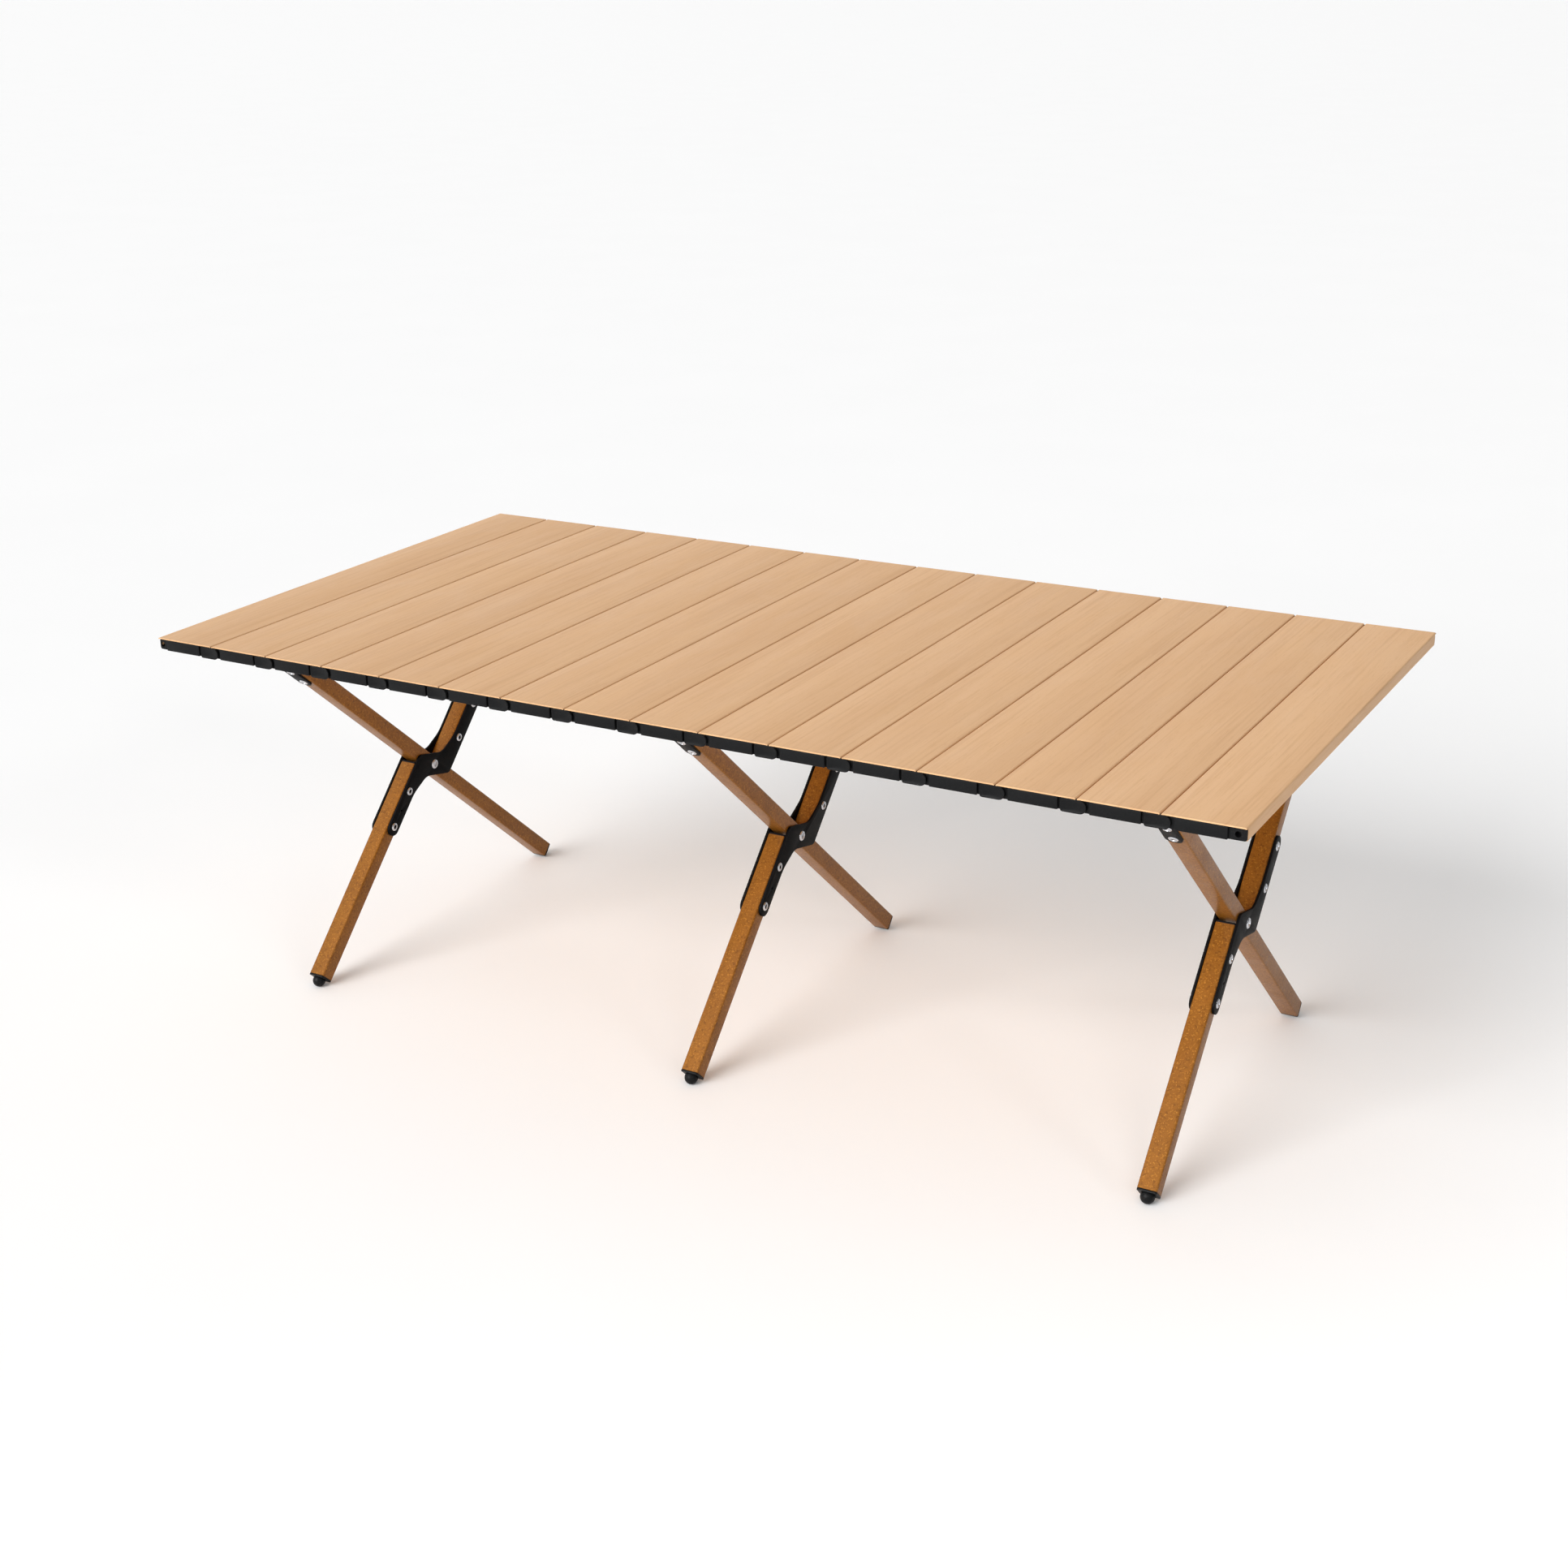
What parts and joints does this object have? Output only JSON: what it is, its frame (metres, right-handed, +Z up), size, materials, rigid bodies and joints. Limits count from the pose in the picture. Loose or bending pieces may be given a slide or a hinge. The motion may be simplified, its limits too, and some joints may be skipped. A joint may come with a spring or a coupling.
{
  "type": "folding picnic table",
  "caption": "Low folding table with a roll-up top of hinged wood-look slats on three folding cross-leg frames joined by folding rails.",
  "frame": {"origin": "on the floor, under the centre of the top", "axes": "+X along the table's length, +Y across it to the far side, +Z up"},
  "size_m": [1.199, 0.612, 0.426],
  "materials": {
    "beech_film": "aluminium extrusion with a matt printed beech wood-grain film",
    "golden_coat": "satin golden-brown powder coat with a fine speckle",
    "black_steel": "satin black coat on pressed steel",
    "black_plastic": "matt moulded black plastic",
    "bright_steel": "bright zinc-plated rivets and bolts"
  },
  "bodies": {
    "middle_near_hub": {"middle_near_hub": "black_plastic"},
    "left_straight_leg": {"left_straight_leg": "golden_coat", "left_far_foot": "black_plastic", "left_near_strap": "black_steel"},
    "left_cranked_leg": {"left_lower_leg": "golden_coat", "left_upper_leg": "golden_coat", "left_left_crank_plate": "black_steel", "left_right_crank_plate": "black_steel", "left_pivot_bolt": "bright_steel", "left_near_foot": "black_plastic", "left_far_strap": "black_steel"},
    "left_far_hub": {"left_far_hub": "black_plastic"},
    "left_near_hub": {"left_near_hub": "black_plastic"},
    "middle_straight_leg": {"middle_straight_leg": "golden_coat", "middle_far_foot": "black_plastic", "middle_near_strap": "black_steel"},
    "middle_cranked_leg": {"middle_lower_leg": "golden_coat", "middle_upper_leg": "golden_coat", "middle_left_crank_plate": "black_steel", "middle_right_crank_plate": "black_steel", "middle_pivot_bolt": "bright_steel", "middle_near_foot": "black_plastic", "middle_far_strap": "black_steel"},
    "middle_far_hub": {"middle_far_hub": "black_plastic"},
    "right_straight_leg": {"right_straight_leg": "golden_coat", "right_far_foot": "black_plastic", "right_near_strap": "black_steel"},
    "right_cranked_leg": {"right_lower_leg": "golden_coat", "right_upper_leg": "golden_coat", "right_left_crank_plate": "black_steel", "right_right_crank_plate": "black_steel", "right_pivot_bolt": "bright_steel", "right_near_foot": "black_plastic", "right_far_strap": "black_steel"},
    "right_far_hub": {"right_far_hub": "black_plastic"},
    "right_near_hub": {"right_near_hub": "black_plastic"},
    "near_left_inner_rail": {"near_left_inner_rail": "golden_coat"},
    "near_left_outer_rail": {"near_left_outer_rail": "golden_coat"},
    "near_right_inner_rail": {"near_right_inner_rail": "golden_coat"},
    "near_right_outer_rail": {"near_right_outer_rail": "golden_coat"},
    "far_left_inner_rail": {"far_left_inner_rail": "golden_coat"},
    "far_left_outer_rail": {"far_left_outer_rail": "golden_coat"},
    "far_right_inner_rail": {"far_right_inner_rail": "golden_coat"},
    "far_right_outer_rail": {"far_right_outer_rail": "golden_coat"},
    "slat_01": {"slat_01": "beech_film"},
    "slat_02": {"slat_02": "beech_film"},
    "slat_03": {"slat_03": "beech_film"},
    "slat_04": {"slat_04": "beech_film"},
    "slat_05": {"slat_05": "beech_film"},
    "slat_06": {"slat_06": "beech_film"},
    "slat_07": {"slat_07": "beech_film"},
    "slat_08": {"slat_08": "beech_film"},
    "slat_09": {"slat_09": "beech_film"},
    "slat_10": {"slat_10": "beech_film"},
    "slat_11": {"slat_11": "beech_film"},
    "slat_12": {"slat_12": "beech_film"},
    "slat_13": {"slat_13": "beech_film"},
    "slat_14": {"slat_14": "beech_film"},
    "slat_15": {"slat_15": "beech_film"},
    "slat_16": {"slat_16": "beech_film"}
  },
  "joints": [
    {"name": "top_lift", "type": "slide", "parent": "middle_near_hub", "child": "slat_08", "axis": [0, 0, 1], "range_m": [0, 0.25]},
    {"name": "top_roll", "type": "hinge", "parent": "slat_08", "child": "slat_09", "pos_m": [0, 0, 0.426], "axis": [0, -1, 0], "range_deg": [0, 39]},
    {"name": "roll_09", "type": "hinge", "parent": "slat_09", "child": "slat_10", "pos_m": [0.075, 0, 0.426], "axis": [0, -1, 0], "range_deg": [0, 37.64]},
    {"name": "roll_10", "type": "hinge", "parent": "slat_10", "child": "slat_11", "pos_m": [0.15, 0, 0.426], "axis": [0, -1, 0], "range_deg": [0, 36.28]},
    {"name": "roll_11", "type": "hinge", "parent": "slat_11", "child": "slat_12", "pos_m": [0.225, 0, 0.426], "axis": [0, -1, 0], "range_deg": [0, 34.91]},
    {"name": "roll_12", "type": "hinge", "parent": "slat_12", "child": "slat_13", "pos_m": [0.3, 0, 0.426], "axis": [0, -1, 0], "range_deg": [0, 33.55]},
    {"name": "roll_13", "type": "hinge", "parent": "slat_13", "child": "slat_14", "pos_m": [0.375, 0, 0.426], "axis": [0, -1, 0], "range_deg": [0, 32.18]},
    {"name": "roll_14", "type": "hinge", "parent": "slat_14", "child": "slat_15", "pos_m": [0.45, 0, 0.426], "axis": [0, -1, 0], "range_deg": [0, 30.82]},
    {"name": "roll_15", "type": "hinge", "parent": "slat_15", "child": "slat_16", "pos_m": [0.525, 0, 0.426], "axis": [0, -1, 0], "range_deg": [0, 29.46]},
    {"name": "roll_07", "type": "hinge", "parent": "slat_08", "child": "slat_07", "pos_m": [-0.075, 0, 0.426], "axis": [0, 1, 0], "range_deg": [0, 40.37]},
    {"name": "roll_06", "type": "hinge", "parent": "slat_07", "child": "slat_06", "pos_m": [-0.15, 0, 0.426], "axis": [0, 1, 0], "range_deg": [0, 41.74]},
    {"name": "roll_05", "type": "hinge", "parent": "slat_06", "child": "slat_05", "pos_m": [-0.225, 0, 0.426], "axis": [0, 1, 0], "range_deg": [0, 43.1]},
    {"name": "roll_04", "type": "hinge", "parent": "slat_05", "child": "slat_04", "pos_m": [-0.3, 0, 0.426], "axis": [0, 1, 0], "range_deg": [0, 44.47]},
    {"name": "roll_03", "type": "hinge", "parent": "slat_04", "child": "slat_03", "pos_m": [-0.375, 0, 0.426], "axis": [0, 1, 0], "range_deg": [0, 45.84]},
    {"name": "roll_02", "type": "hinge", "parent": "slat_03", "child": "slat_02", "pos_m": [-0.45, 0, 0.426], "axis": [0, 1, 0], "range_deg": [0, 47.2]},
    {"name": "roll_01", "type": "hinge", "parent": "slat_02", "child": "slat_01", "pos_m": [-0.525, 0, 0.426], "axis": [0, 1, 0], "range_deg": [0, 48.57]},
    {"name": "cross_fold", "type": "hinge", "parent": "middle_near_hub", "child": "middle_straight_leg", "pos_m": [0, -0.25, 0.4063], "axis": [-1, 0, 0], "range_deg": [0, 42]},
    {"name": "middle_pivot", "type": "hinge", "parent": "middle_straight_leg", "child": "middle_cranked_leg", "pos_m": [0, 0, 0.2005], "axis": [1, 0, 0], "range_deg": [0, 84]},
    {"name": "middle_far_hinge", "type": "hinge", "parent": "middle_cranked_leg", "child": "middle_far_hub", "pos_m": [0, 0.25, 0.4063], "axis": [-1, 0, 0], "range_deg": [0, 42]},
    {"name": "left_near_hinge", "type": "hinge", "parent": "left_near_hub", "child": "left_straight_leg", "pos_m": [-0.5, -0.25, 0.4063], "axis": [-1, 0, 0], "range_deg": [0, 42]},
    {"name": "left_pivot", "type": "hinge", "parent": "left_straight_leg", "child": "left_cranked_leg", "pos_m": [-0.5, 0, 0.2005], "axis": [1, 0, 0], "range_deg": [0, 84]},
    {"name": "left_far_hinge", "type": "hinge", "parent": "left_cranked_leg", "child": "left_far_hub", "pos_m": [-0.5, 0.25, 0.4063], "axis": [-1, 0, 0], "range_deg": [0, 42]},
    {"name": "right_near_hinge", "type": "hinge", "parent": "right_near_hub", "child": "right_straight_leg", "pos_m": [0.5, -0.25, 0.4063], "axis": [-1, 0, 0], "range_deg": [0, 42]},
    {"name": "right_pivot", "type": "hinge", "parent": "right_straight_leg", "child": "right_cranked_leg", "pos_m": [0.5, 0, 0.2005], "axis": [1, 0, 0], "range_deg": [0, 84]},
    {"name": "right_far_hinge", "type": "hinge", "parent": "right_cranked_leg", "child": "right_far_hub", "pos_m": [0.5, 0.25, 0.4063], "axis": [-1, 0, 0], "range_deg": [0, 42]},
    {"name": "bay_fold", "type": "hinge", "parent": "middle_near_hub", "child": "near_right_inner_rail", "pos_m": [0.02, -0.25, 0.4063], "axis": [0, 1, 0], "range_deg": [0, 85]},
    {"name": "near_right_elbow", "type": "hinge", "parent": "near_right_inner_rail", "child": "near_right_outer_rail", "pos_m": [0.25, -0.25, 0.4063], "axis": [0, -1, 0], "range_deg": [0, 170]},
    {"name": "right_hub_hinge", "type": "hinge", "parent": "near_right_outer_rail", "child": "right_near_hub", "pos_m": [0.48, -0.25, 0.4063], "axis": [0, 1, 0], "range_deg": [0, 85]},
    {"name": "near_left_rail_root", "type": "hinge", "parent": "middle_near_hub", "child": "near_left_inner_rail", "pos_m": [-0.02, -0.25, 0.4063], "axis": [0, -1, 0], "range_deg": [0, 85]},
    {"name": "near_left_elbow", "type": "hinge", "parent": "near_left_inner_rail", "child": "near_left_outer_rail", "pos_m": [-0.25, -0.25, 0.4063], "axis": [0, 1, 0], "range_deg": [0, 170]},
    {"name": "left_hub_hinge", "type": "hinge", "parent": "near_left_outer_rail", "child": "left_near_hub", "pos_m": [-0.48, -0.25, 0.4063], "axis": [0, -1, 0], "range_deg": [0, 85]},
    {"name": "far_right_rail_root", "type": "hinge", "parent": "middle_far_hub", "child": "far_right_inner_rail", "pos_m": [0.02, 0.25, 0.4063], "axis": [0, 1, 0], "range_deg": [0, 85]},
    {"name": "far_right_elbow", "type": "hinge", "parent": "far_right_inner_rail", "child": "far_right_outer_rail", "pos_m": [0.25, 0.25, 0.4063], "axis": [0, -1, 0], "range_deg": [0, 170]},
    {"name": "far_left_rail_root", "type": "hinge", "parent": "middle_far_hub", "child": "far_left_inner_rail", "pos_m": [-0.02, 0.25, 0.4063], "axis": [0, -1, 0], "range_deg": [0, 85]},
    {"name": "far_left_elbow", "type": "hinge", "parent": "far_left_inner_rail", "child": "far_left_outer_rail", "pos_m": [-0.25, 0.25, 0.4063], "axis": [0, 1, 0], "range_deg": [0, 170]}
  ],
  "couplings": [
    {"joint": "roll_09", "follows": "top_roll", "ratio": 0.965},
    {"joint": "roll_10", "follows": "top_roll", "ratio": 0.93},
    {"joint": "roll_11", "follows": "top_roll", "ratio": 0.895},
    {"joint": "roll_12", "follows": "top_roll", "ratio": 0.86},
    {"joint": "roll_13", "follows": "top_roll", "ratio": 0.825},
    {"joint": "roll_14", "follows": "top_roll", "ratio": 0.79},
    {"joint": "roll_15", "follows": "top_roll", "ratio": 0.755},
    {"joint": "roll_07", "follows": "top_roll", "ratio": 1.035},
    {"joint": "roll_06", "follows": "top_roll", "ratio": 1.07},
    {"joint": "roll_05", "follows": "top_roll", "ratio": 1.105},
    {"joint": "roll_04", "follows": "top_roll", "ratio": 1.14},
    {"joint": "roll_03", "follows": "top_roll", "ratio": 1.175},
    {"joint": "roll_02", "follows": "top_roll", "ratio": 1.21},
    {"joint": "roll_01", "follows": "top_roll", "ratio": 1.245},
    {"joint": "middle_pivot", "follows": "cross_fold", "ratio": 2},
    {"joint": "middle_far_hinge", "follows": "cross_fold", "ratio": 1},
    {"joint": "left_near_hinge", "follows": "cross_fold", "ratio": 1},
    {"joint": "left_pivot", "follows": "cross_fold", "ratio": 2},
    {"joint": "left_far_hinge", "follows": "cross_fold", "ratio": 1},
    {"joint": "right_near_hinge", "follows": "cross_fold", "ratio": 1},
    {"joint": "right_pivot", "follows": "cross_fold", "ratio": 2},
    {"joint": "right_far_hinge", "follows": "cross_fold", "ratio": 1},
    {"joint": "near_right_elbow", "follows": "bay_fold", "ratio": 2},
    {"joint": "right_hub_hinge", "follows": "bay_fold", "ratio": 1},
    {"joint": "near_left_rail_root", "follows": "bay_fold", "ratio": 1},
    {"joint": "near_left_elbow", "follows": "bay_fold", "ratio": 2},
    {"joint": "left_hub_hinge", "follows": "bay_fold", "ratio": 1},
    {"joint": "far_right_rail_root", "follows": "bay_fold", "ratio": 1},
    {"joint": "far_right_elbow", "follows": "bay_fold", "ratio": 2},
    {"joint": "far_left_rail_root", "follows": "bay_fold", "ratio": 1},
    {"joint": "far_left_elbow", "follows": "bay_fold", "ratio": 2}
  ]
}
